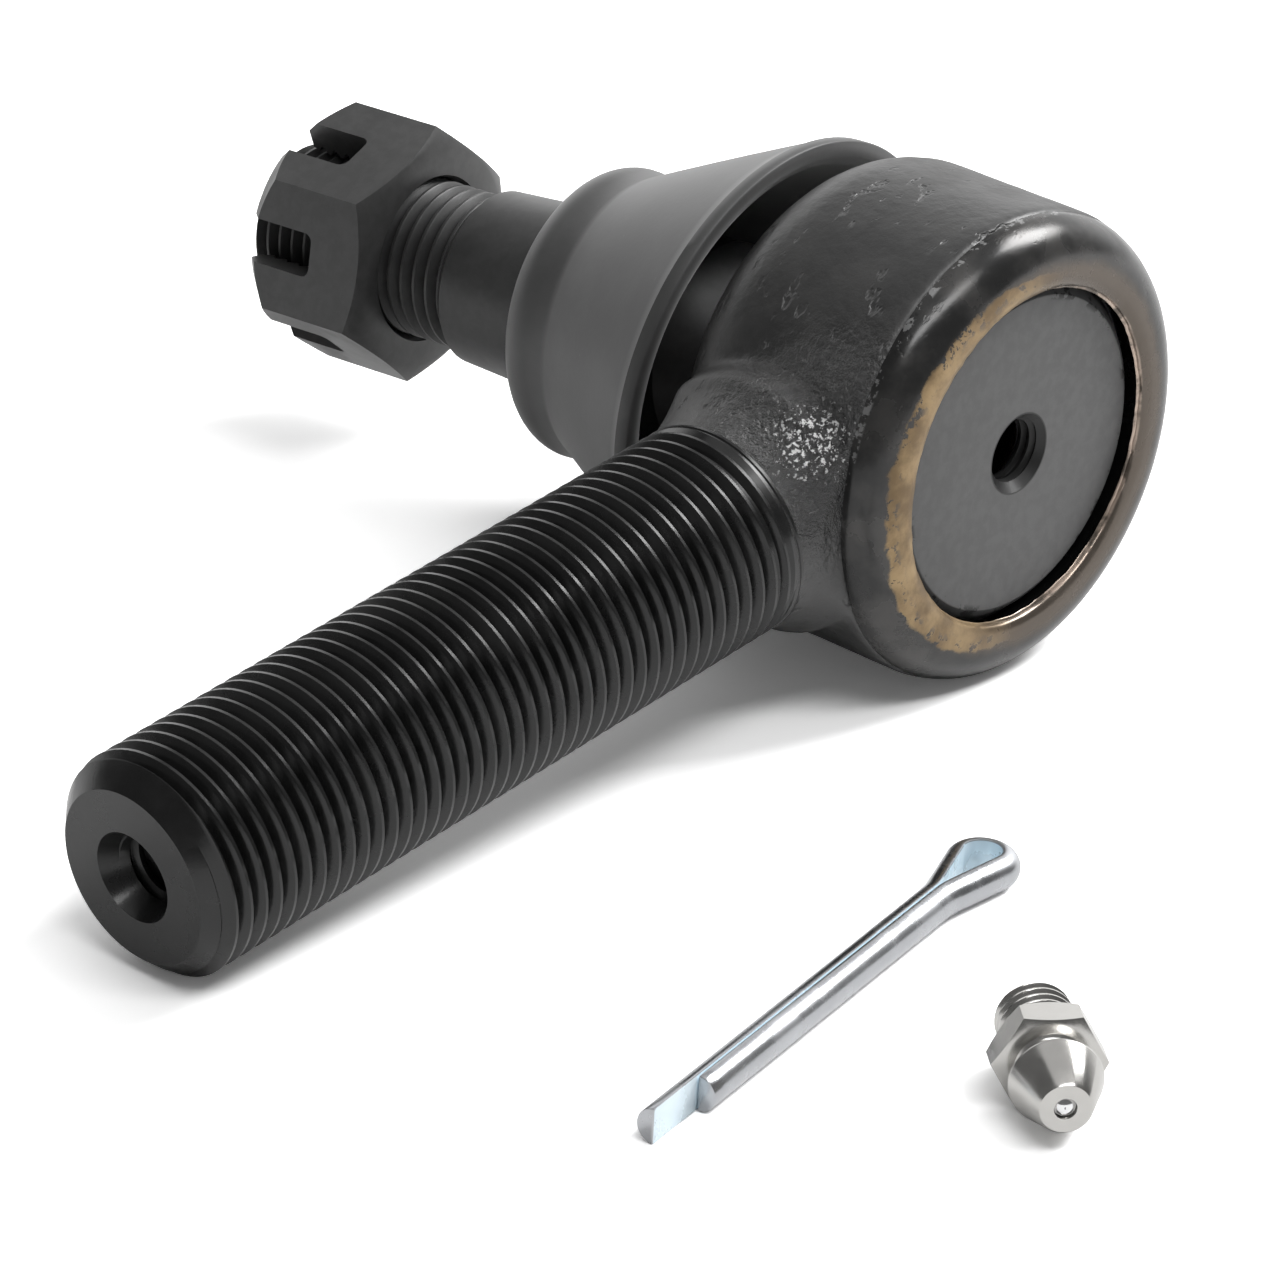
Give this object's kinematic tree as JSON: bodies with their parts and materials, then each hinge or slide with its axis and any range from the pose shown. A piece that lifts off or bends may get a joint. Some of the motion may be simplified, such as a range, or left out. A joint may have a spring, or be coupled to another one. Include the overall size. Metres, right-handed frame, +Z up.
{
  "type": "tie rod end",
  "caption": "Outer tie rod end: threaded shank on a round ball socket, leaning tapered stud with rubber boot and slotted nut, cotter pin and grease fitting laid beside it.",
  "frame": {"origin": "centre of the ball, which every joint of the stud turns about", "axes": "+Z up from the surface the part lies on; +Y along the socket's axis towards the stud, -Y is where the cover plate faces; the shank runs towards -X and slopes down 7.5 degrees to its end"},
  "size_m": [0.1133, 0.1369, 0.042],
  "materials": {
    "forging": "thin black paint over a forged and turned surface, semi-gloss",
    "bearing": "greased acetal resin",
    "spring_steel": "oiled spring wire",
    "cover": "grey phosphate, satin",
    "stud": "grey-black phosphate, satin",
    "boot": "matte dark grey rubber",
    "nut": "grey-black phosphate, satin",
    "zinc": "bright zinc plating",
    "fitting": "bright plated turned steel",
    "check_ball": "polished hardened steel"
  },
  "bodies": {
    "socket": {"socket_housing": "forging", "stud_side_bearing": "bearing", "preload_spring": "spring_steel", "cover_plate": "cover"},
    "bearing_cup": {"cover_side_bearing": "bearing"},
    "boot": {"dust_boot": "boot"},
    "stud": {"ball_stud": "stud"},
    "nut": {"slotted_nut": "nut"},
    "pin": {"cotter_pin": "zinc"},
    "fitting": {"grease_fitting_body": "fitting", "grease_fitting_spring": "spring_steel"},
    "check_ball": {"grease_fitting_ball": "check_ball"}
  },
  "joints": [
    {"name": "swing_turn", "type": "hinge", "parent": "socket", "child": "bearing_cup", "pos_m": [0, 0, 0], "axis": [0, 1, 0], "continuous": true, "deforming": ["dust_boot"]},
    {"name": "stud_tilt", "type": "hinge", "parent": "bearing_cup", "child": "boot", "pos_m": [0, 0, 0], "axis": [-0.3551, 0, 0.9348], "range_deg": [-25.2, 14.8], "deforming": ["dust_boot"]},
    {"name": "stud_spin", "type": "hinge", "parent": "boot", "child": "stud", "pos_m": [0, 0, 0], "axis": [-0.0847, 0.9959, -0.0322], "continuous": true},
    {"name": "nut_turn", "type": "hinge", "parent": "stud", "child": "nut", "pos_m": [0, 0, 0], "axis": [-0.0847, 0.9959, -0.0322], "continuous": true},
    {"name": "cotter_pin_lift", "type": "slide", "parent": "socket", "child": "pin", "axis": [0, 0, 1], "range_m": [0, 0.03]},
    {"name": "grease_fitting_lift", "type": "slide", "parent": "socket", "child": "fitting", "axis": [0, 0, 1], "range_m": [0, 0.03]},
    {"name": "check_ball_push", "type": "slide", "parent": "fitting", "child": "check_ball", "axis": [0.6494, 0.7604, 0], "range_m": [0, 0.0008], "stiffness_N_per_m": 200, "springref_m": -0.001, "deforming": ["grease_fitting_spring"]}
  ]
}
